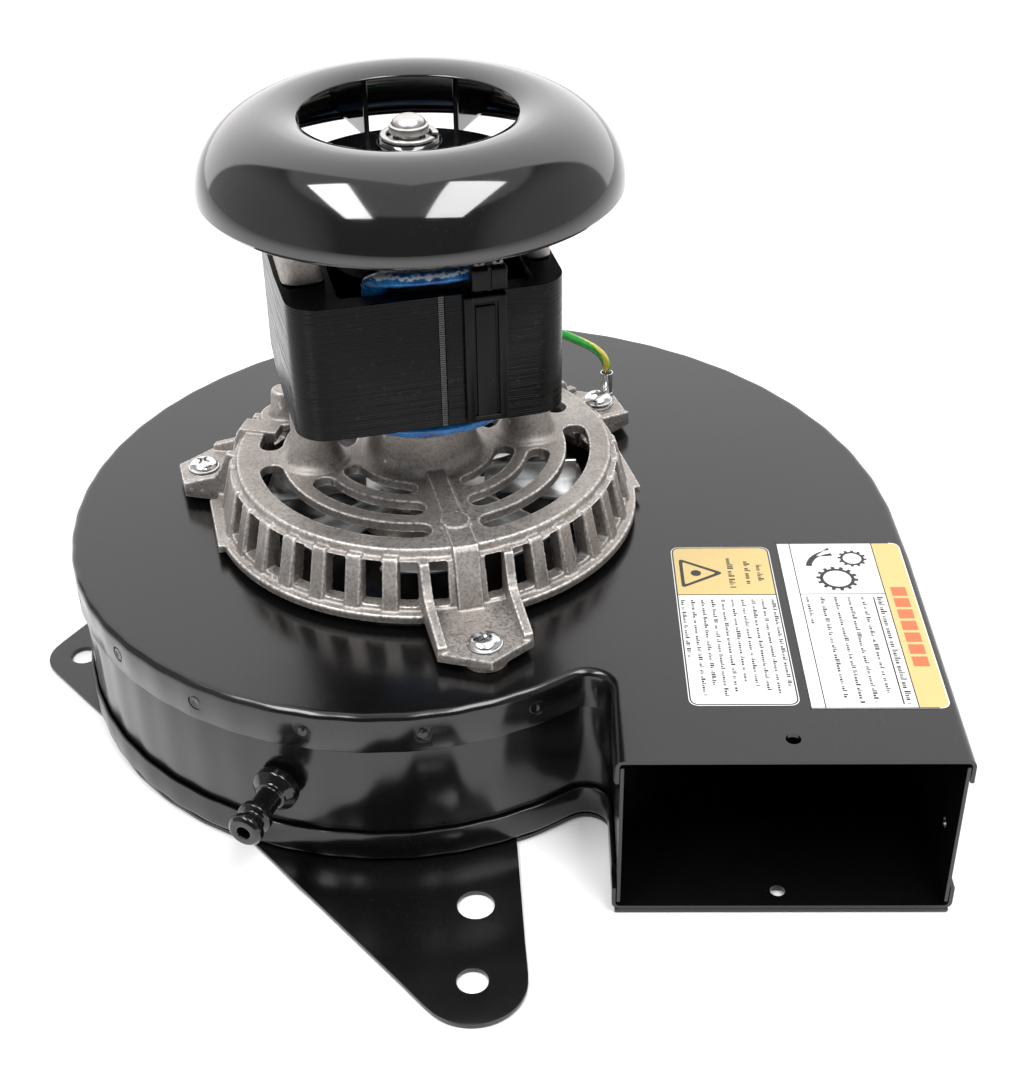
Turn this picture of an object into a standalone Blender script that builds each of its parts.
"""Combustion fan: a draft-inducer blower driven by a shaded-pole motor.

World frame: metres, +Z up. The origin is the middle of the footprint, on the plane the mounting
ears stand on. X runs along the face of the outlet, and the outlet blows towards -Y. The pieces are
modelled round the shaft's axis, and hang on two empties that stand on that axis.
"""
import math

import bmesh
import bpy
import numpy as np
from mathutils import Matrix, Vector

MM = 0.001

# ---------------------------------------------------------------- driving dimensions
GAP = 0.3 * MM              # clearance between mating pieces
SHEET = 1.0 * MM            # housing sheet steel
PLATE = 1.2 * MM            # mount plate
SHAFT_AT = (-10.0 * MM, 13.45 * MM, 0.0)      # where the shaft's axis stands in the footprint
ROTOR = ("shaft", "rotor_core", "cooling_fan", "fan_clamp", "push_nut", "heat_slinger", "wheel_hub",
         "set_screw", "blower_wheel")

# Scroll housing. The scroll's outer radius at each station, going clockwise from the cutoff.
HOUSING_TOP = 52.6 * MM
SCROLL_AZIMUTHS = (-62, -90, -135, -180, -225, -270, -315, -360)
SCROLL_RADII = (94.5, 101.2, 105.7, 108.6, 115.6, 126.5, 134.9, 142.4)
OUTLET_X = (53.3 * MM, 143.3 * MM)
OUTLET_Y = -118.9 * MM
CUTOFF_RADIUS = 6.05 * MM
RIM_BEND = 2.2 * MM
TOP_SKIRT = 12.0 * MM
BASE_RIM = 10.2 * MM
OUTLET_TAB = 7.4 * MM
OUTLET_HOLES = {"top": (98.6 * MM, -110.4 * MM), "base": (97.9 * MM, -113.4 * MM)}
OUTLET_HOLE_RADIUS = 2.0 * MM
SIDE_HOLE_Z = 21.9 * MM
INLET_RADIUS = 38.0 * MM
SHAFT_HOLE_RADIUS = 10.0 * MM

# Mounting ears: tip centre x, y, tip radius, then the azimuths of the two feet on the rim.
EARS = {
    "front": ((17.1, -143.7), 14.2, (-118, -73)),
    "left": ((-112.3, -7.2), 11.0, (-157, -196)),
    "back": ((75.0, 120.0), 11.0, (72, 44)),
}
EAR_HOLES = (((17.2, -117.4), 5.0), ((17.1, -143.7), 4.1), ((-112.3, -7.2), 4.2),
             ((75.0, 120.0), 4.2))

# Motor and bracket. The whole motor is turned on the housing by MOTOR_TURN.
MOTOR_TURN = math.radians(14.5)
LUGS = ((79.6, 0), (77.4, 121), (72.6, 243))     # screw's distance from the shaft, and its turn
LUG_HALF = 13.3 * MM
LUG_TIP = 8.4 * MM                   # from the screw to the lug's point
FLANGE_Z = (54.9 * MM, 57.4 * MM)
FLANGE_RADIUS = 64.1 * MM
FLANGE_PAD = 64.8 * MM               # half-width over the flange's two straight sides
CAGE_TOP = 74.3 * MM
CAGE_PLATE = 3.0 * MM
CAGE_RADIUS = 56.1 * MM
WALL_SLOTS = (8.0, 15.9, 25.7, 36.2, 46.7, 57.2, 67.7, 78.2, 104.6, 112.4, 128.4, 136.4, 147.0,
              158.0, 169.0, 180.0)   # degrees either side of the front lug
HUB_TOP = 87.0 * MM
HUB_RADIUS = 15.2 * MM
SLOT_ROWS = ((21.2, 27.4), (31.4, 38.2), (42.8, 49.8))    # inner and outer radius of each row
BOLTS = ((-32.5 * MM, 1.6 * MM), (32.5 * MM, 1.6 * MM))   # through bolts, in the motor's frame
BOLT_HOLE = 1.9 * MM
BOSS_TOP = 100.7 * MM
SIDE_BOSS = (-38.0 * MM, 29.5 * MM)

STACK_Z = (101.0 * MM, 140.0 * MM)
STACK_HALF = (37.8 * MM, 36.0 * MM)
STACK_OFFSET = -2.6 * MM             # the yoke is wider on the side away from the outlet
STACK_CORNER = 9.0 * MM
FOOT_X = {-1: (-39.8 * MM, -27.6 * MM), 1: (26.9 * MM, 34.9 * MM)}      # the upper bracket's two feet
BORE_RADIUS = 20.5 * MM
BEARING_RADIUS = 7.7 * MM
SHAFT_RADIUS = 4.0 * MM
BORE = SHAFT_RADIUS + GAP

# Top cooling fan.
FAN_HOLE = 29.7 * MM
FAN_CROWN = (38.0 * MM, 179.8 * MM)    # radius and height of the shroud's highest circle
FAN_RADIUS = 58.8 * MM
FAN_WAIST_Z = 159.2 * MM               # height of the shroud's widest circle
FAN_LIP = (56.2 * MM, 157.4 * MM)      # the lower edge curls in
FAN_SQUARENESS = 1.83                  # exponent of the dome's superellipse
FAN_FLOOR = 159.4 * MM                 # underside of the fan's disc
FAN_WALL = 1.8 * MM
FAN_BLADES = 8
FAN_BLADE_TURN = math.radians(25.5)
FAN_DISC_RADIUS = 34.5 * MM

# Blower wheel.
WHEEL_RADIUS = 76.0 * MM
WHEEL_INNER = 63.0 * MM
WHEEL_Z = (11.5 * MM, 44.6 * MM)
WHEEL_BLADES = 24

TAP_AZIMUTH = math.radians(-110.2)
TAP_Z = 26.15 * MM

COLORS = {
    "black_steel": ((0.035, 0.033, 0.034), 0.0, 0.35),
    "cast": ((0.56, 0.54, 0.52), 1.0, 0.5),
    "zinc": ((0.75, 0.76, 0.78), 1.0, 0.25),
    "steel": ((0.60, 0.61, 0.62), 1.0, 0.3),
    "aluminium": ((0.70, 0.71, 0.72), 1.0, 0.35),
    "bronze": ((0.55, 0.36, 0.16), 1.0, 0.4),
    "lamination": ((0.03, 0.03, 0.032), 0.0, 0.45),
    "tape": ((0.02, 0.13, 0.42), 0.0, 0.3),
    "black_plastic": ((0.02, 0.02, 0.021), 0.0, 0.18),
    "wire_green": ((0.10, 0.55, 0.12), 0.0, 0.4),
    "label": ((0.86, 0.85, 0.82), 0.0, 0.5),
    "fibre": ((0.55, 0.50, 0.42), 0.0, 0.8),
}


# ---------------------------------------------------------------- scene helpers
def clear_scene():
    for obj in list(bpy.data.objects):
        bpy.data.objects.remove(obj, do_unlink=True)


def new_collection(name):
    coll = bpy.data.collections.new(name)
    bpy.context.scene.collection.children.link(coll)
    return coll


def add_material(obj, finish):
    """Give the object a Principled material of its own."""
    color, metallic, roughness = COLORS[finish]
    mat = bpy.data.materials.new(obj.name + "_mat")
    mat.use_nodes = True
    bsdf = mat.node_tree.nodes["Principled BSDF"]
    bsdf.inputs["Base Color"].default_value = (*color, 1.0)
    bsdf.inputs["Metallic"].default_value = metallic
    bsdf.inputs["Roughness"].default_value = roughness
    mat.diffuse_color = (*color, 1.0)
    obj.data.materials.clear()
    obj.data.materials.append(mat)


def add_object(name, mesh, coll, finish=None, matrix=None):
    obj = bpy.data.objects.new(name, mesh)
    coll.objects.link(obj)
    if matrix is not None:
        obj.matrix_world = matrix
    if finish:
        add_material(obj, finish)
    return obj


def smooth(obj, angle=35.0):
    """Shade faces smooth, with creases sharper than angle kept."""
    obj.data.shade_smooth()
    obj.data.set_sharp_from_angle(angle=math.radians(angle))


def evaluated_mesh(obj):
    depsgraph = bpy.context.evaluated_depsgraph_get()
    depsgraph.update()
    return bpy.data.meshes.new_from_object(obj.evaluated_get(depsgraph))


def bake(obj):
    """Replace an object's mesh with its evaluated mesh, and drop the modifiers."""
    mesh = evaluated_mesh(obj)
    obj.modifiers.clear()
    obj.data = mesh
    return obj


def weld(mesh, dist=0.00001):
    bm = bmesh.new()
    bm.from_mesh(mesh)
    bmesh.ops.remove_doubles(bm, verts=bm.verts, dist=dist)
    bmesh.ops.recalc_face_normals(bm, faces=bm.faces)
    bm.to_mesh(mesh)
    bm.free()
    return mesh


# ---------------------------------------------------------------- shape helpers
def flat_mesh(loops, z0, z1):
    """A flat plate between two heights: the first loop is its outline, the others are holes."""
    curve = bpy.data.curves.new("outline", "CURVE")
    curve.dimensions = "2D"
    curve.fill_mode = "BOTH"
    curve.extrude = (z1 - z0) / 2
    for loop in loops:
        spline = curve.splines.new("POLY")
        spline.points.add(len(loop) - 1)
        for point, (x, y) in zip(spline.points, loop):
            point.co = (x, y, 0, 1)
        spline.use_cyclic_u = True
    obj = bpy.data.objects.new("outline", curve)
    bpy.context.scene.collection.objects.link(obj)
    mesh = weld(evaluated_mesh(obj))
    bpy.data.objects.remove(obj)
    mesh.transform(Matrix.Translation((0, 0, (z0 + z1) / 2)))
    return mesh


def tube_mesh(points, radius, cyclic=False, resolution=2):
    """A round bar along a path."""
    curve = bpy.data.curves.new("path", "CURVE")
    curve.dimensions = "3D"
    curve.bevel_depth = radius
    curve.bevel_resolution = resolution
    curve.use_fill_caps = not cyclic
    spline = curve.splines.new("POLY")
    spline.points.add(len(points) - 1)
    for point, co in zip(spline.points, points):
        point.co = (*co, 1)
    spline.use_cyclic_u = cyclic
    obj = bpy.data.objects.new("path", curve)
    bpy.context.scene.collection.objects.link(obj)
    mesh = weld(evaluated_mesh(obj))
    bpy.data.objects.remove(obj)
    return mesh


def turned_mesh(profile, steps=36):
    """A turned piece: a profile of (radius, height), swept round Z by a Screw modifier.

    The profile closes on itself, unless both its ends lie on the axis.
    """
    mesh = bpy.data.meshes.new("profile")
    bm = bmesh.new()
    verts = [bm.verts.new((r, 0, z)) for r, z in profile]
    if profile[0][0] or profile[-1][0]:
        verts.append(verts[0])
    for vert, following in zip(verts, verts[1:]):
        bm.edges.new((vert, following))
    bm.to_mesh(mesh)
    bm.free()
    obj = bpy.data.objects.new("profile", mesh)
    bpy.context.scene.collection.objects.link(obj)
    screw = obj.modifiers.new("Screw", "SCREW")
    screw.steps = screw.render_steps = steps
    screw.use_merge_vertices = True
    screw.merge_threshold = 0.00001
    turned = weld(evaluated_mesh(obj))
    bpy.data.objects.remove(obj)
    return turned


def ring_profile(r0, r1, z0, z1):
    return [(r1, z1), (r1, z0), (r0, z0), (r0, z1)]


def box_mesh(x0, x1, y0, y1, z0, z1):
    mesh = bpy.data.meshes.new("box")
    bm = bmesh.new()
    bmesh.ops.create_cube(bm, size=1.0)
    bmesh.ops.scale(bm, vec=(x1 - x0, y1 - y0, z1 - z0), verts=bm.verts)
    bmesh.ops.translate(bm, vec=((x0 + x1) / 2, (y0 + y1) / 2, (z0 + z1) / 2), verts=bm.verts)
    bm.to_mesh(mesh)
    bm.free()
    return mesh


def rod_mesh(radius, z0, z1, x=0.0, y=0.0, segments=20, top_radius=None):
    mesh = bpy.data.meshes.new("rod")
    bm = bmesh.new()
    bmesh.ops.create_cone(bm, cap_ends=True, segments=segments, radius1=radius,
                          radius2=radius if top_radius is None else top_radius, depth=z1 - z0)
    bmesh.ops.translate(bm, vec=(x, y, (z0 + z1) / 2), verts=bm.verts)
    bm.to_mesh(mesh)
    bm.free()
    return mesh


def joined(meshes, name="cutters"):
    """Several separate shells in one mesh."""
    bm = bmesh.new()
    for mesh in meshes:
        bm.from_mesh(mesh)
    out = bpy.data.meshes.new(name)
    bm.to_mesh(out)
    bm.free()
    return out


def turned_about_z(mesh, angle):
    out = mesh.copy()
    out.transform(Matrix.Rotation(angle, 4, "Z"))
    return out


def around(mesh, count, start=0.0, skip=()):
    """Copies of a mesh spaced evenly round Z."""
    step = 2 * math.pi / count
    return [turned_about_z(mesh, start + i * step) for i in range(count) if i not in skip]


def combine(obj, mesh, operation, name, matrix=None):
    """Cut, join or intersect an object with a helper solid, and bake the result."""
    tool = add_object(f"{obj.name}_{name}", mesh, CUTTERS, matrix=matrix)
    tool.hide_render = True
    tool.display_type = "WIRE"
    mod = obj.modifiers.new(name, "BOOLEAN")
    mod.operation = operation
    mod.solver = "EXACT"
    mod.object = tool
    return bake(obj)


def cut(obj, mesh, name, matrix=None):
    return combine(obj, mesh, "DIFFERENCE", name, matrix)


def join(obj, mesh, name, matrix=None):
    return combine(obj, mesh, "UNION", name, matrix)


def circle(radius, x=0.0, y=0.0, count=24, turn=0.0):
    angles = turn + np.arange(count) * 2 * math.pi / count
    return [(x + radius * math.cos(a), y + radius * math.sin(a)) for a in angles]


def arc(radius, a0, a1, count, x=0.0, y=0.0):
    return [(x + radius * math.cos(a), y + radius * math.sin(a)) for a in np.linspace(a0, a1, count)]


def rounded_rect(half_x, half_y, corner, x=0.0, y=0.0, steps=4):
    points = []
    for k, (sx, sy) in enumerate(((1, 1), (-1, 1), (-1, -1), (1, -1))):
        cx, cy = x + sx * (half_x - corner), y + sy * (half_y - corner)
        points += arc(corner, k * math.pi / 2, (k + 1) * math.pi / 2, steps, cx, cy)
    return points


def polar(radius, degrees):
    a = math.radians(degrees)
    return radius * math.cos(a), radius * math.sin(a)


# ---------------------------------------------------------------- scroll outline
def scroll_radius(swept):
    """Outer radius of the scroll after sweeping this many degrees clockwise from the cutoff."""
    stations = np.array([SCROLL_AZIMUTHS[0] - a for a in SCROLL_AZIMUTHS], float)
    radii = np.array(SCROLL_RADII) * MM
    slopes = np.gradient(radii, stations)
    i = int(np.clip(np.searchsorted(stations, swept) - 1, 0, len(stations) - 2))
    span = stations[i + 1] - stations[i]
    t = (swept - stations[i]) / span
    return ((2 * t**3 - 3 * t**2 + 1) * radii[i] + (t**3 - 2 * t**2 + t) * span * slopes[i]
            + (3 * t**2 - 2 * t**3) * radii[i + 1] + (t**3 - t**2) * span * slopes[i + 1])


def wall_path(step=7.0):
    """The housing's outer wall, from the outlet's left corner round the scroll to its right corner."""
    left = OUTLET_X[0]
    start = Vector(polar(scroll_radius(0), SCROLL_AZIMUTHS[0]))
    centre_y = start.y - CUTOFF_RADIUS * math.cos(math.radians(28))
    path = [(left, OUTLET_Y)]
    path += arc(CUTOFF_RADIUS, 0, math.radians(118), 8, left - CUTOFF_RADIUS, centre_y)[:-1]
    sweep = SCROLL_AZIMUTHS[0] - SCROLL_AZIMUTHS[-1]
    for swept in np.linspace(0, sweep, int(round(sweep / step)) + 1):
        path.append(polar(scroll_radius(swept), SCROLL_AZIMUTHS[0] - swept))
    path += [(OUTLET_X[1], -28 * MM), (OUTLET_X[1], OUTLET_Y)]
    return path


def offset_path(path, distance):
    """An open path moved to its right, which is towards the inside of the housing's wall."""
    points = [Vector(p) for p in path]
    out = []
    for i, point in enumerate(points):
        before = (point - points[i - 1]).normalized() if i else None
        after = (points[i + 1] - point).normalized() if i + 1 < len(points) else None
        before, after = before or after, after or before
        n0, n1 = Vector((before.y, -before.x)), Vector((after.y, -after.x))
        mid = (n0 + n1).normalized()
        out.append(tuple(point + mid * (distance / mid.dot(n1))))
    return out


def strip_loop(path, outer, inner):
    """The closed outline of a sheet wall between two offsets of a path."""
    return offset_path(path, outer) + offset_path(path, inner)[::-1]


def cup_object(name, path, flat_z, rim_z, holes, finish):
    """A pan: a flat plate with a bent rim along the path and none across the outlet."""
    bm = bmesh.new()
    verts = [bm.verts.new((x, y, flat_z)) for x, y in path]
    edges = [bm.edges.new((verts[i], verts[(i + 1) % len(verts)])) for i in range(len(verts))]
    bmesh.ops.contextual_create(bm, geom=edges)
    walls = bmesh.ops.extrude_edge_only(bm, edges=edges[:-1])["geom"]
    moved = [g for g in walls if isinstance(g, bmesh.types.BMVert)]
    bmesh.ops.translate(bm, verts=moved, vec=(0, 0, rim_z - flat_z))
    bmesh.ops.bevel(bm, geom=edges[:-1], offset=RIM_BEND, segments=3, profile=0.5, affect="EDGES")
    bmesh.ops.recalc_face_normals(bm, faces=bm.faces)
    top = max(bm.faces, key=lambda f: f.calc_area())
    if (top.normal.z > 0) != (flat_z > rim_z):
        bmesh.ops.reverse_faces(bm, faces=bm.faces)
    mesh = bpy.data.meshes.new(name)
    bm.to_mesh(mesh)
    bm.free()
    obj = add_object(name, mesh, PARTS, finish)
    solid = obj.modifiers.new("Solidify", "SOLIDIFY")
    solid.thickness = SHEET
    solid.offset = -1.0
    solid.use_even_offset = True
    bake(obj)
    for i, (mesh, matrix) in enumerate(holes):
        cut(obj, mesh, f"hole{i}", matrix)
    return obj


# ---------------------------------------------------------------- housing
def hull(points):
    """Convex outline of some points, anticlockwise."""
    points = sorted(set(points))

    def half(seq):
        out = []
        for p in seq:
            while len(out) > 1 and ((out[-1][0] - out[-2][0]) * (p[1] - out[-2][1])
                                    - (out[-1][1] - out[-2][1]) * (p[0] - out[-2][0])) <= 0:
                out.pop()
            out.append(p)
        return out[:-1]
    return half(points) + half(points[::-1])


def wall_radius(azimuth):
    """Outer wall radius at an azimuth that the scroll covers."""
    swept = (SCROLL_AZIMUTHS[0] - azimuth) % 360
    return scroll_radius(min(swept, SCROLL_AZIMUTHS[0] - SCROLL_AZIMUTHS[-1]))


def ear_outline(tip, radius, feet):
    """An ear: a round tip joined by straight sides to two feet set back under the pan."""
    points = circle(radius * MM, tip[0] * MM, tip[1] * MM, 24)
    for azimuth in feet:
        points.append(polar(wall_radius(azimuth) - 2 * MM, azimuth))
        points.append(polar(wall_radius(azimuth) - 14 * MM, azimuth))
    return hull(points)


def build_mount_plate():
    inset = offset_path(wall_path(8.0), 0.8 * MM)
    plate = add_object("mount_plate", flat_mesh([inset], 0, PLATE), PARTS, "black_steel")
    for key, (tip, radius, feet) in EARS.items():
        join(plate, flat_mesh([ear_outline(tip, radius, feet)], 0, PLATE), "ear_" + key)
    holes = [rod_mesh(r * MM, -PLATE, 2 * PLATE, x * MM, y * MM) for (x, y), r in EAR_HOLES]
    holes.append(rod_mesh(INLET_RADIUS + 2 * MM, -PLATE, 2 * PLATE, segments=48))
    holes.append(rod_mesh(OUTLET_HOLE_RADIUS + 0.6 * MM, -PLATE, 2 * PLATE, *OUTLET_HOLES["base"], 16))
    cut(plate, joined(holes), "holes")
    smooth(plate)


def lug_points():
    """Where the three lug screws go through the top pan."""
    start = math.degrees(MOTOR_TURN) - 90
    return [polar(distance * MM, start + turn) for distance, turn in LUGS]


def outlet_notch(z0, z1):
    """Shortens a rim beside the outlet."""
    return box_mesh(OUTLET_X[0] - 5 * MM, OUTLET_X[1] + 5 * MM, OUTLET_Y - 5 * MM,
                    OUTLET_Y + 6 * MM, z0, z1)


def skirt_dimples():
    """Round clinch dimples pressed into the top pan's skirt."""
    dimples = []
    for azimuth in np.arange(-69.5, -360, -18.0):
        x, y = polar(wall_radius(azimuth) + 1.6 * MM, azimuth)
        mesh = bpy.data.meshes.new("dimple")
        bm = bmesh.new()
        bmesh.ops.create_uvsphere(bm, u_segments=8, v_segments=6, radius=2.1 * MM)
        bmesh.ops.translate(bm, vec=(x, y, HOUSING_TOP - 6.2 * MM), verts=bm.verts)
        bm.to_mesh(mesh)
        bm.free()
        dimples.append(mesh)
    return joined(dimples)


def build_pans():
    path = wall_path()
    r = OUTLET_HOLE_RADIUS
    base_z = PLATE + 0.1 * MM
    base_holes = joined([rod_mesh(INLET_RADIUS, 0, 4 * MM, segments=48),
                         rod_mesh(r, 0, 4 * MM, *OUTLET_HOLES["base"], 16)])
    base = cup_object("base_pan", path, base_z, base_z + BASE_RIM,
                      [(base_holes, None),
                       (outlet_notch(base_z + OUTLET_TAB, base_z + 15 * MM), None)],
                      "black_steel")
    smooth(base)
    z0, z1 = HOUSING_TOP - 4 * MM, HOUSING_TOP + 2 * MM
    top_holes = [rod_mesh(SHAFT_HOLE_RADIUS, z0, z1),
                 rod_mesh(r, z0, z1, *OUTLET_HOLES["top"], 16)]
    for x, y in lug_points():
        top_holes.append(rod_mesh(2.4 * MM, z0, z1, x, y, 12))
    top = cup_object("top_pan", path, HOUSING_TOP, HOUSING_TOP - TOP_SKIRT,
                     [(joined(top_holes), None),
                      (outlet_notch(HOUSING_TOP - 15 * MM, HOUSING_TOP - OUTLET_TAB), None),
                      (skirt_dimples(), None)],
                     "black_steel")
    smooth(top)


def tap_matrix():
    """Maps a piece turned about +Z onto the tap's axis, with its origin on the wall's face."""
    x, y = polar(wall_radius(math.degrees(TAP_AZIMUTH)), math.degrees(TAP_AZIMUTH))
    turn = Matrix.Rotation(TAP_AZIMUTH, 4, "Z") @ Matrix.Rotation(math.pi / 2, 4, "Y")
    return Matrix.Translation((x, y, TAP_Z)) @ turn


def build_wrap():
    path = wall_path()
    inset = SHEET + GAP
    z0, z1 = PLATE + 2.6 * MM, HOUSING_TOP - 2.3 * MM
    wrap = add_object("wrap_strip", flat_mesh([strip_loop(path, inset, inset + 0.9 * MM)], z0, z1),
                      PARTS, "black_steel")
    cut(wrap, rod_mesh(3.3 * MM, -8 * MM, 8 * MM, segments=16), "tap_hole", tap_matrix())
    side = Matrix.Translation((OUTLET_X[1], OUTLET_Y + 11 * MM, SIDE_HOLE_Z))
    side = side @ Matrix.Rotation(math.pi / 2, 4, "Y")
    cut(wrap, rod_mesh(1.6 * MM, -6 * MM, 6 * MM, segments=12), "side_hole", side)
    smooth(wrap)


def build_tap():
    """A turned nipple: seat collar, stem with a rib, a fatter end rib, and a bore through it."""
    seat = 0.2 * MM
    profile = [(1.9 * MM, 20.0 * MM), (4.1 * MM, 20.0 * MM), (4.8 * MM, 19.2 * MM),
               (4.8 * MM, 17.2 * MM), (3.4 * MM, 16.4 * MM), (3.4 * MM, 14.8 * MM),
               (4.8 * MM, 14.0 * MM), (4.8 * MM, 12.2 * MM), (3.4 * MM, 11.2 * MM),
               (3.4 * MM, 5.0 * MM), (5.0 * MM, 4.4 * MM), (6.5 * MM, 2.8 * MM), (6.5 * MM, seat),
               (3.0 * MM, seat), (3.0 * MM, -6.6 * MM), (1.9 * MM, -6.6 * MM)]
    tap = add_object("pressure_tap", turned_mesh(profile, 24), PARTS, "black_steel", tap_matrix())
    smooth(tap)
    nut = flat_mesh([circle(5.4 * MM, count=6), circle(3.3 * MM, count=16)], -6.0 * MM, -3.2 * MM)
    add_object("tap_nut", nut, PARTS, "zinc", tap_matrix())


def build_inlet_ring():
    """A bellmouth that stands inside the base pan and leads into the wheel's eye."""
    z = PLATE + SHEET + 0.3 * MM
    r = INLET_RADIUS
    profile = [(r + 8 * MM, z + 1 * MM), (r + 8 * MM, z), (r - 0.5 * MM, z), (r - 2.5 * MM, z + 2 * MM),
               (r - 3 * MM, z + 6 * MM), (r - 2 * MM, z + 6 * MM), (r - 1.5 * MM, z + 2.6 * MM),
               (r + 0.2 * MM, z + 1 * MM)]
    ring = add_object("inlet_ring", turned_mesh(profile), PARTS, "steel")
    smooth(ring)


def build_labels():
    z = HOUSING_TOP + 0.05 * MM
    for name, x0, x1, y0, y1 in (("label_caution", 73.3, 102.2, -97.2, -23.3),
                                 ("label_notice", 104.6, 140.9, -98.5, -21.4)):
        loop = rounded_rect((x1 - x0) / 2 * MM, (y1 - y0) / 2 * MM, 3 * MM,
                            (x0 + x1) / 2 * MM, (y0 + y1) / 2 * MM)
        add_object(name, flat_mesh([loop], z, z + 0.15 * MM), PARTS, "label")


# ---------------------------------------------------------------- motor bracket casting
def slot_loop(r0, r1, a0, a1):
    """An arc slot with rounded ends; angles in degrees from the front lug."""
    mid, half = (r0 + r1) / 2, (r1 - r0) / 2
    turn = math.degrees(half / mid)
    b0, b1 = math.radians(a0 + turn - 90), math.radians(a1 - turn - 90)
    count = max(3, int(abs(a1 - a0) / 14))
    loop = arc(r1, b0, b1, count)
    cx, cy = mid * math.cos(b1), mid * math.sin(b1)
    loop += arc(half, b1, b1 + math.pi, 4, cx, cy)[1:-1]
    loop += arc(r0, b1, b0, count)
    cx, cy = mid * math.cos(b0), mid * math.sin(b0)
    loop += arc(half, b0 + math.pi, b0 + 2 * math.pi, 4, cx, cy)[1:-1]
    return loop


def cage_slots():
    """Arc slots through the cage's top plate, mirrored about the front lug."""
    inner, middle, outer = [(a * MM, b * MM) for a, b in SLOT_ROWS]
    spans = [(outer, 8.6, 91), (outer, 102, 122), (outer, 133, 171), (middle, 10.5, 73),
             (middle, 107, 170), (inner, 16, 76), (inner, 104, 164)]
    shapes = []
    for (r0, r1), a0, a1 in spans:
        for lo, hi in ((a0, a1), (-a1, -a0)):
            shapes.append(flat_mesh([slot_loop(r0, r1, lo, hi)], CAGE_TOP - 6 * MM, CAGE_TOP + 4 * MM))
    return joined(shapes)


def side_plate(points, half_width):
    """A flat plate standing in the XZ plane, from points of (x, z) in millimetres."""
    mesh = flat_mesh([[(u * MM, z * MM) for u, z in points]], -half_width, half_width)
    mesh.transform(Matrix.Rotation(math.pi / 2, 4, "X"))
    return mesh


def lug_plate(distance):
    """A lug's flat plate, pointing along +X, with its point just past the screw."""
    corner, tip = distance + 1.0 * MM, distance + LUG_TIP
    loop = [(56 * MM, -LUG_HALF), (corner, -LUG_HALF), (tip, 0), (corner, LUG_HALF), (56 * MM, LUG_HALF)]
    return flat_mesh([loop], FLANGE_Z[0], FLANGE_Z[1] + 0.4 * MM)


def lug_gussets(distance):
    """Two stepped gussets that stand along a lug's sides and run into the cage's wall."""
    end = distance / MM + 1.0
    side = [(54.8, 71.9), (58.8, 71.9), (61.2, 66.3), (63.6, 63.0), (66.5, 62.2), (end, 59.6),
            (end, 56.4), (54.8, 56.4)]
    gussets = []
    for v in (-1, 1):
        gusset = side_plate(side, 1.3 * MM)
        gusset.transform(Matrix.Translation((0, v * (LUG_HALF - 1.4 * MM), 0)))
        gussets.append(gusset)
    return joined(gussets)


def lug_rib():
    """The centre rib that runs down the cage's wall to a lug."""
    return side_plate([(40, 75.3), (58.2, 75.3), (59.4, 73.6), (63.8, 56.6), (58, 56.6), (55, 70),
                       (40, 72)], 3.6 * MM)


def cage_body():
    """The turned body of the casting: flange, sloping wall, top plate and bearing hub."""
    z0, z1 = FLANGE_Z
    top = CAGE_TOP
    profile = [(BEARING_RADIUS + GAP, HUB_TOP), (HUB_RADIUS - 1.2 * MM, HUB_TOP),
               (HUB_RADIUS - 0.4 * MM, HUB_TOP - 1 * MM), (HUB_RADIUS + 1.4 * MM, top + 1 * MM),
               (HUB_RADIUS + 2.4 * MM, top), (CAGE_RADIUS, top), (CAGE_RADIUS, top - 2.4 * MM),
               (58.2 * MM, top - 2.9 * MM), (61.2 * MM, z1 + 1 * MM), (61.4 * MM, z1),
               (FLANGE_RADIUS, z1), (FLANGE_RADIUS, z0), (58.0 * MM, z0), (55.0 * MM, top - 4 * MM),
               (53.6 * MM, top - CAGE_PLATE), (HUB_RADIUS, top - CAGE_PLATE),
               (HUB_RADIUS - 2 * MM, top - 5 * MM), (BEARING_RADIUS + GAP, top - 5 * MM)]
    return turned_mesh(profile, 48)


def boss_profile(base, neck, top_radius, top):
    """Half section of a conical boss with a flared foot."""
    foot = CAGE_TOP - 1.6 * MM
    return [(0, top), (top_radius, top), (neck, CAGE_TOP + 5 * MM), (neck + 0.9 * MM, CAGE_TOP + 2 * MM),
            (base, CAGE_TOP + 0.2 * MM), (base, foot), (0, foot)]


def cut_cage_slots(body, turn):
    """Cuts the wall's upright slots and the top plate's arc slots."""
    slot = box_mesh(50 * MM, 70 * MM, -2.9 * MM, 2.9 * MM, FLANGE_Z[1] + 1.2 * MM,
                    CAGE_TOP - 3.0 * MM)
    turns = sorted(set(WALL_SLOTS) | {-a for a in WALL_SLOTS if a != 180.0})
    slots = [turned_about_z(slot, math.radians(a - 90)) for a in turns]
    cut(body, joined(slots), "wall_slots", turn)
    cut(body, cage_slots(), "arc_slots", turn)


def add_lugs(body, turn):
    for i, (distance, degrees) in enumerate(LUGS):
        distance *= MM
        spin = turn @ Matrix.Rotation(math.radians(degrees - 90), 4, "Z")
        join(body, lug_plate(distance), f"lug{i}", spin)
        join(body, lug_gussets(distance), f"gussets{i}", spin)
        join(body, lug_rib(), f"rib{i}", spin)
        cut(body, rod_mesh(2.4 * MM, 50 * MM, 62 * MM, distance, 0, 12), f"lug_hole{i}", spin)


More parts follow.
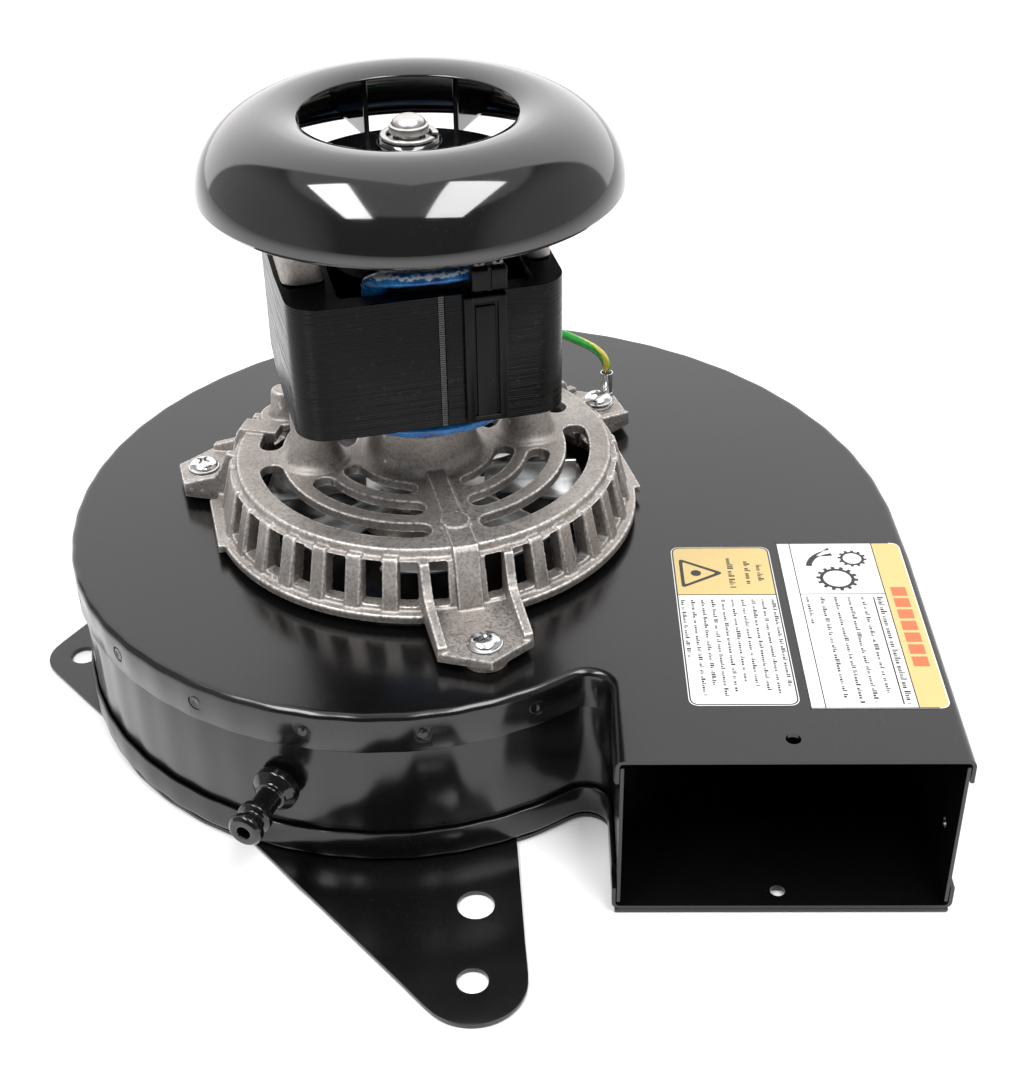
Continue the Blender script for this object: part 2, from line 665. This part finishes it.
def add_bosses(body, turn):
    bosses = []
    for x, y in BOLTS:
        boss = turned_mesh(boss_profile(10.0 * MM, 7.7 * MM, 6.6 * MM, BOSS_TOP), 24)
        boss.transform(Matrix.Translation((x, y, 0)))
        bosses.append(boss)
    join(body, joined(bosses), "bosses", turn)
    small = turned_mesh(boss_profile(6.0 * MM, 4.2 * MM, 3.6 * MM, 84 * MM), 16)
    small.transform(Matrix.Translation((*SIDE_BOSS, 0)))
    join(body, small, "side_boss", turn)
    pilots = joined([rod_mesh(BOLT_HOLE, 80 * MM, BOSS_TOP + 2 * MM, x, y, 12) for x, y in BOLTS])
    cut(body, pilots, "pilots", turn)


def build_motor_bracket():
    turn = Matrix.Rotation(MOTOR_TURN, 4, "Z")
    body = add_object("motor_bracket", cage_body(), PARTS, "cast", turn)
    pads = [box_mesh(x0, x1, -12.9 * MM, 14.0 * MM, *FLANGE_Z)
            for x0, x1 in ((-FLANGE_PAD, -60 * MM), (60 * MM, FLANGE_PAD))]
    join(body, joined(pads), "pads", turn)
    cut_cage_slots(body, turn)
    add_lugs(body, turn)
    spin = turn @ Matrix.Rotation(-math.pi / 2, 4, "Z")
    web = box_mesh(HUB_RADIUS - 1 * MM, 46 * MM, -2.9 * MM, 2.9 * MM, CAGE_TOP - 2 * MM,
                   CAGE_TOP + 0.9 * MM)
    join(body, web, "web", spin)
    pad = rod_mesh(4.0 * MM, CAGE_TOP - 1.5 * MM, CAGE_TOP + 1.5 * MM, 44.3 * MM, 0, 16)
    join(body, pad, "pad", spin)
    add_bosses(body, turn)
    smooth(body)


def pan_screw_profile(head_z, tip_z):
    """Half section of a pan-head screw, from the top of its head to its tip."""
    head, shank = 4.8 * MM, 2.1 * MM
    return [(0.0, head_z + 2.7 * MM), (1.6 * MM, head_z + 2.7 * MM), (3.2 * MM, head_z + 2.3 * MM),
            (4.3 * MM, head_z + 1.5 * MM), (head, head_z + 0.5 * MM), (head, head_z),
            (shank, head_z), (shank, tip_z + 1.2 * MM), (0.9 * MM, tip_z), (0.0, tip_z)]


def build_lug_fasteners():
    head_z = FLANGE_Z[1] + 0.6 * MM
    for i, (x, y) in enumerate(lug_points()):
        at = Matrix.Translation((x, y, 0))
        lift = 1.3 * MM if i == 1 else 0.0      # the ground terminal sits under this head
        screw = add_object(f"lug_screw_{i + 1}",
                           turned_mesh(pan_screw_profile(head_z + lift, 47.5 * MM), 16),
                           PARTS, "zinc", at)
        z = head_z + lift + 2.7 * MM
        cross = [box_mesh(-2.4 * MM, 2.4 * MM, -0.5 * MM, 0.5 * MM, z - 1.1 * MM, z + 1 * MM),
                 box_mesh(-0.5 * MM, 0.5 * MM, -2.4 * MM, 2.4 * MM, z - 1.2 * MM, z + 1 * MM)]
        for k, bar in enumerate(cross):
            cut(screw, bar, f"cross{k}", at @ Matrix.Rotation(0.5 + i, 4, "Z"))
        smooth(screw)
        spacer = turned_mesh(ring_profile(2.5 * MM, 6.2 * MM, HOUSING_TOP + 0.1 * MM,
                                          FLANGE_Z[0] - 0.1 * MM), 24)
        smooth(add_object(f"lug_spacer_{i + 1}", spacer, PARTS, "fibre", at))


def build_heat_shield():
    profile = ring_profile(BORE + 0.4 * MM, 22 * MM, HOUSING_TOP + 0.1 * MM, HOUSING_TOP + 1.0 * MM)
    smooth(add_object("heat_shield", turned_mesh(profile, 36), PARTS, "fibre"))


def build_bearings():
    lower = ring_profile(BORE, BEARING_RADIUS, HUB_TOP - 13 * MM, HUB_TOP - 1 * MM)
    smooth(add_object("lower_bearing", turned_mesh(lower, 32), PARTS, "bronze"))
    upper = ring_profile(BORE, BEARING_RADIUS, 145.5 * MM, 155.5 * MM)
    smooth(add_object("upper_bearing", turned_mesh(upper, 32), PARTS, "bronze"))


# ---------------------------------------------------------------- motor
def coil_window(side_x, side_y):
    """One of the stack's four coil windows, between a pole's side and the yoke."""
    quarter = ((11.9, 30.4), (25.4, 30.4), (26.4, 29.4), (26.4, 6.5), (25.2, 6.5), (22.6, 13.2),
               (19.2, 18.2), (11.9, 23.0))
    loop = [(side_x * x * MM, side_y * y * MM) for x, y in quarter]
    return flat_mesh([loop], STACK_Z[0] - 5 * MM, STACK_Z[1] + 5 * MM)


def build_stack():
    """Lamination stack of a two-pole motor: square yoke, two poles at front and back."""
    z0, z1 = STACK_Z
    turn = Matrix.Rotation(MOTOR_TURN, 4, "Z")
    outline = rounded_rect(*STACK_HALF, STACK_CORNER, STACK_OFFSET, 0, steps=5)
    holes = [circle(BOLT_HOLE, x, y, 12) for x, y in BOLTS]
    stack = add_object("lamination_stack", flat_mesh([outline] + holes, z0, z1), PARTS,
                       "lamination", turn)
    cut(stack, rod_mesh(BORE_RADIUS, z0 - 5 * MM, z1 + 5 * MM, segments=40), "bore", turn)
    windows = [coil_window(sx, sy) for sx in (-1, 1) for sy in (-1, 1)]
    cut(stack, joined(windows), "coil_windows", turn)
    slits = [box_mesh(sx * 23 * MM - 4.2 * MM, sx * 23 * MM + 4.2 * MM, -1.5 * MM, 1.5 * MM,
                      z0 - 5 * MM, z1 + 5 * MM) for sx in (-1, 1)]
    cut(stack, joined(slits), "pole_gaps", turn)
    grooves = [box_mesh(-1.0 * MM, 1.0 * MM, sy * STACK_HALF[1] - 1.0 * MM,
                        sy * STACK_HALF[1] + 1.0 * MM, z0 - 5 * MM, z1 + 5 * MM) for sy in (-1, 1)]
    cut(stack, joined(grooves), "grooves", turn)
    smooth(stack)


def coil_path(side):
    """A coil round one pole: two legs through the stack, end turns that bulge outwards."""
    z0, z1 = STACK_Z
    half_turn = [(-16.0, 26.2, 0.6), (-15.2, 26.6, 3.5), (-11, 28.4, 5.0), (0, 30.0, 5.4)]
    half_turn += [(-x, y, dz) for x, y, dz in half_turn[-2::-1]]
    points = [(x * MM, side * y * MM, z1 + dz * MM) for x, y, dz in half_turn]
    points += [(x * MM, side * y * MM, z0 - dz * MM) for x, y, dz in half_turn[::-1]]
    return points


def build_coils():
    turn = Matrix.Rotation(MOTOR_TURN, 4, "Z")
    floor, roof = STACK_Z[0] - 0.4 * MM, STACK_Z[1] + 0.4 * MM
    for name, side in (("coil_front", -1), ("coil_back", 1)):
        mesh = tube_mesh(coil_path(side), 3.3 * MM, cyclic=True)
        for vert in mesh.vertices:              # both end turns are pressed flatter
            vert.co.z = max(vert.co.z, floor + 0.6 * (vert.co.z - floor))
            vert.co.z = min(vert.co.z, roof + 0.55 * (vert.co.z - roof))
        smooth(add_object(name, mesh, PARTS, "tape", turn))


def build_upper_bracket():
    """A cast bridge over the stack: two tapered feet, an arm between them and a bearing hub."""
    turn = Matrix.Rotation(MOTOR_TURN, 4, "Z")
    top = STACK_Z[1]
    hub = [(BEARING_RADIUS + GAP, 156.4 * MM), (12.4 * MM, 156.4 * MM), (13.2 * MM, 155.4 * MM),
           (13.8 * MM, top + 5.0 * MM), (BEARING_RADIUS + GAP, top + 5.0 * MM)]
    body = add_object("upper_bracket", turned_mesh(hub, 32), PARTS, "cast", turn)
    for side in (-1, 1):
        arm = [(side * x * MM, y * MM) for x, y in ((10, -9), (34, -6), (34, 5), (10, 9))]
        join(body, flat_mesh([arm], top + 8.2 * MM, top + 13.0 * MM), f"arm_{'lr'[side > 0]}", turn)
        x0, x1 = FOOT_X[side]
        foot = rounded_rect((x1 - x0) / 2, 20.5 * MM, 4.4 * MM, (x0 + x1) / 2, 0)
        join(body, flat_mesh([foot], top + 0.2 * MM, top + 12.2 * MM), f"foot_{'lr'[side > 0]}", turn)
    holes = joined([rod_mesh(BOLT_HOLE, top - 2 * MM, top + 20 * MM, x, y, 12) for x, y in BOLTS])
    cut(body, holes, "bolt_holes", turn)
    smooth(body)


def build_bolts():
    head_z = STACK_Z[1] + 13.3 * MM
    turn = Matrix.Rotation(MOTOR_TURN, 4, "Z")
    for i, (x, y) in enumerate(BOLTS):
        at = turn @ Matrix.Translation((x, y, 0))
        shank = rod_mesh(1.6 * MM, 81 * MM, head_z + 1 * MM, segments=12)
        bolt = add_object(f"through_bolt_{i + 1}", shank, PARTS, "zinc", at)
        join(bolt, rod_mesh(3.9 * MM, head_z, head_z + 2.6 * MM, segments=6), "head", at)


def build_leads():
    """Lead clip on the stack's front face, a terminal block and its two spade tabs."""
    turn = Matrix.Rotation(MOTOR_TURN, 4, "Z")
    z0, z1 = STACK_Z
    face = -STACK_HALF[1] - 0.15 * MM
    clip = add_object("lead_clip", box_mesh(5.8 * MM, 17.5 * MM, face - 1.9 * MM, face, z0 + 1.0 * MM,
                                            z1 - 0.4 * MM), PARTS, "black_plastic", turn)
    window = box_mesh(8.5 * MM, 14.8 * MM, face - 4 * MM, face + 4 * MM, z0 - 4 * MM, z1 - 3.2 * MM)
    cut(clip, window, "window", turn)
    block = flat_mesh([rounded_rect(4.9 * MM, 2.3 * MM, 1.0 * MM, 13.1 * MM, face + 1.2 * MM, 3)],
                      z1 + 0.3 * MM, z1 + 7.0 * MM)
    add_object("terminal_block", block, PARTS, "black_plastic", turn)
    for i, x in enumerate((10.6 * MM, 15.6 * MM)):
        tab = box_mesh(x - 1.4 * MM, x + 1.4 * MM, face + 0.4 * MM, face + 1.2 * MM,
                       z1 + 7.2 * MM, z1 + 9.4 * MM)
        add_object(f"spade_tab_{i + 1}", tab, PARTS, "zinc", turn)


def build_ground_terminal(end):
    """A ring terminal under the back lug's screw, with a barrel that stands up to the wire."""
    x, y = lug_points()[1]
    at = Matrix.Translation((x, y, FLANGE_Z[1] + 0.55 * MM))
    ring = turned_mesh(ring_profile(2.5 * MM, 4.9 * MM, 0, 0.9 * MM), 20)
    terminal = add_object("ring_terminal", ring, PARTS, "zinc", at)
    spin = at @ Matrix.Rotation(math.atan2(end[1] - y, end[0] - x), 4, "Z")
    reach = math.hypot(end[0] - x, end[1] - y)
    tongue = box_mesh(4.0 * MM, reach + 1.8 * MM, -1.8 * MM, 1.8 * MM, 0, 0.9 * MM)
    join(terminal, tongue, "tongue", spin)
    join(terminal, rod_mesh(2.1 * MM, 0.1 * MM, 8.0 * MM, reach, 0, 16), "barrel", spin)
    cut(terminal, rod_mesh(1.75 * MM, 5.0 * MM, 12 * MM, reach, 0, 16), "barrel_bore", spin)
    smooth(terminal)


def build_ground_wire():
    """The earth wire, from behind the stack down to the back lug."""
    points = [(14, 46, 104), (24, 48.5, 106), (33, 50, 105), (41, 52, 101), (48, 54, 95.5),
              (52.8, 57, 90), (55.6, 60, 83), (57, 61.8, 76), (57.4, 62.4, 63.5)]
    wire = tube_mesh([(x * MM, y * MM, z * MM) for x, y, z in points], 1.45 * MM)
    smooth(add_object("ground_wire", wire, PARTS, "wire_green"))
    build_ground_terminal([c * MM for c in points[-1][:2]])


# ---------------------------------------------------------------- rotor
def build_shaft():
    rod = rod_mesh(SHAFT_RADIUS, 9 * MM, 174.6 * MM, segments=32)
    shaft = add_object("shaft", rod, PARTS, "steel")
    smooth(shaft)


def build_rotor_core():
    z0, z1 = STACK_Z
    r = BORE_RADIUS - 0.5 * MM
    profile = [(BORE, z1 + 3 * MM), (r - 3 * MM, z1 + 3 * MM), (r - 3 * MM, z1), (r, z1), (r, z0),
               (r - 3 * MM, z0), (r - 3 * MM, z0 - 3 * MM), (BORE, z0 - 3 * MM)]
    smooth(add_object("rotor_core", turned_mesh(profile), PARTS, "aluminium"))


def shroud_curve():
    """Half section of the fan's shroud: the hole's rim, a superelliptic dome and the curled lip."""
    crown_r, crown_z = FAN_CROWN
    points = [(FAN_HOLE, crown_z - 2.0 * MM), (FAN_HOLE + 3.4 * MM, crown_z - 0.7 * MM)]
    for a in np.linspace(0.0, 1.0, 8) * math.pi / 2:
        points.append((crown_r + (FAN_RADIUS - crown_r) * math.sin(a) ** (2 / FAN_SQUARENESS),
                       FAN_WAIST_Z + (crown_z - FAN_WAIST_Z) * math.cos(a) ** (2 / FAN_SQUARENESS)))
    points += [(FAN_RADIUS - 0.9 * MM, FAN_LIP[1] + 0.5 * MM), FAN_LIP]
    return points


def build_cooling_fan():
    outer = shroud_curve()
    shell = outer + offset_path(outer, FAN_WALL)[::-1]
    fan = add_object("cooling_fan", turned_mesh(shell, 48), PARTS, "black_plastic")
    mid = offset_path(outer, FAN_WALL / 2)
    start = FAN_DISC_RADIUS - 1.2 * MM
    floor_z = FAN_FLOOR + 0.4 * MM
    roof = [(r, z) for r, z in mid if r > start + 1 * MM and z > floor_z]
    blade = [(start, floor_z), (roof[-1][0], floor_z)] + roof[::-1] + [(start, roof[0][1])]
    mesh = flat_mesh([blade], -0.8 * MM, 0.8 * MM)
    mesh.transform(Matrix.Rotation(math.pi / 2, 4, "X"))
    join(fan, joined(around(mesh, FAN_BLADES, FAN_BLADE_TURN)), "blades")
    z = FAN_FLOOR + 0.2 * MM
    hub = [(BORE, z + 11.2 * MM), (8.0 * MM, z + 11.2 * MM), (8.8 * MM, z + 10.4 * MM),
           (8.9 * MM, z + 2.6 * MM), (10.5 * MM, z + 1.6 * MM), (FAN_DISC_RADIUS, z + 1.6 * MM),
           (FAN_DISC_RADIUS, z - 0.2 * MM), (BORE, z - 0.2 * MM)]
    join(fan, turned_mesh(hub, 24), "hub")
    smooth(fan)


def build_fan_retainers():
    z = FAN_FLOOR + 11.6 * MM
    clamp = flat_mesh([arc(7.9 * MM, 0.25, 2 * math.pi - 0.25, 22)
                       + arc(6.2 * MM, 2 * math.pi - 0.25, 0.25, 22)], z, z + 1.0 * MM)
    smooth(add_object("fan_clamp", clamp, PARTS, "zinc", Matrix.Rotation(-0.2, 4, "Z")))
    z += 1.3 * MM
    nut = [(0, z + 4.7 * MM), (2.6 * MM, z + 4.4 * MM), (4.6 * MM, z + 3.4 * MM), (5.3 * MM, z + 2.0 * MM),
           (5.4 * MM, z), (BORE, z), (BORE, 175.0 * MM), (0, 175.0 * MM)]
    smooth(add_object("push_nut", turned_mesh(nut), PARTS, "zinc"))


def build_heat_slinger():
    """A pressed aluminium disc with paddles, whose edges are turned up as vanes."""
    z = 60.5 * MM
    points = []
    for k in range(8):
        a = math.radians(45 * k)
        w = math.radians(13)
        points += arc(17 * MM, a - 0.8 * w, a - 0.8 * w, 1)
        points += arc(48 * MM, a - w, a + w, 5)
        points += arc(17 * MM, a + 0.8 * w, a + 0.8 * w, 1)
    disc = add_object("heat_slinger", flat_mesh([points, circle(BORE, count=24)], z, z + 1.0 * MM),
                      PARTS, "aluminium")
    vane = box_mesh(18 * MM, 46 * MM, -0.5 * MM, 0.5 * MM, z + 0.5 * MM, z + 7 * MM)
    vanes = []
    for k in range(8):
        copy = vane.copy()
        copy.transform(Matrix.Rotation(math.radians(45 * k + 4), 4, "Z"))
        vanes.append(copy)
    join(disc, joined(vanes), "vanes")
    hub = turned_mesh(ring_profile(BORE, 7.5 * MM, z + 0.5 * MM, z + 7 * MM), 24)
    join(disc, hub, "hub")
    smooth(disc)


def build_blower_wheel():
    """A drum with forward-curved blades between a back plate and a lip ring."""
    z0, z1 = WHEEL_Z
    plate = ring_profile(9.3 * MM, WHEEL_RADIUS, z1 - 1.0 * MM, z1)
    wheel = add_object("blower_wheel", turned_mesh(plate, 40), PARTS, "aluminium")
    mid, half = (WHEEL_RADIUS + WHEEL_INNER) / 2, (WHEEL_RADIUS - WHEEL_INNER) / 2 - 0.6 * MM
    outer = [(mid + half * t, 5.0 * MM * (1 - t * t)) for t in (-1, 0, 1)]
    blade = flat_mesh([outer + offset_path(outer, 0.8 * MM)[::-1]], z0 + 0.5 * MM, z1 - 0.5 * MM)
    join(wheel, joined(around(blade, WHEEL_BLADES, math.radians(2.3))), "blades")
    lip = ring_profile(WHEEL_RADIUS - 5 * MM, WHEEL_RADIUS + 0.6 * MM, z0, z0 + 1.0 * MM)
    join(wheel, turned_mesh(lip, 40), "lip")
    smooth(wheel, 25)


def build_wheel_hub():
    """A flanged collar through the wheel's back plate, locked to the shaft by a set screw."""
    top = WHEEL_Z[1] + GAP
    profile = [(BORE, top + 1.2 * MM), (12.5 * MM, top + 1.2 * MM), (12.5 * MM, top), (9.0 * MM, top),
               (9.0 * MM, top - 14 * MM), (BORE, top - 14 * MM)]
    collar = add_object("wheel_hub", turned_mesh(profile, 24), PARTS, "zinc")
    side = Matrix.Translation((0, 0, top - 8 * MM)) @ Matrix.Rotation(math.pi / 2, 4, "Y")
    cut(collar, rod_mesh(2.3 * MM, 0, 15 * MM, segments=12), "screw_hole", side)
    smooth(collar)
    screw = rod_mesh(2.0 * MM, 4.4 * MM, 9.6 * MM, segments=12)
    smooth(add_object("set_screw", screw, PARTS, "steel", side))


def hang_on_axis():
    """Parents each piece to an empty on the shaft's axis: one for the rotor, one for what stands still."""
    empties = {}
    for name in ("housing_base", "rotor_axis"):
        empty = bpy.data.objects.new(name, None)
        empty.location = SHAFT_AT
        PARTS.objects.link(empty)
        empties[name] = empty
    for obj in [o for o in PARTS.objects if o.type == "MESH"]:
        obj.parent = empties["rotor_axis" if obj.name in ROTOR else "housing_base"]


clear_scene()
PARTS = new_collection("combustion_fan")
CUTTERS = new_collection("cutters")
build_mount_plate()
build_pans()
build_wrap()
build_tap()
build_inlet_ring()
build_labels()
build_motor_bracket()
build_lug_fasteners()
build_heat_shield()
build_bearings()
build_stack()
build_coils()
build_upper_bracket()
build_bolts()
build_leads()
build_ground_wire()
build_shaft()
build_rotor_core()
build_cooling_fan()
build_fan_retainers()
build_heat_slinger()
build_blower_wheel()
build_wheel_hub()
hang_on_axis()
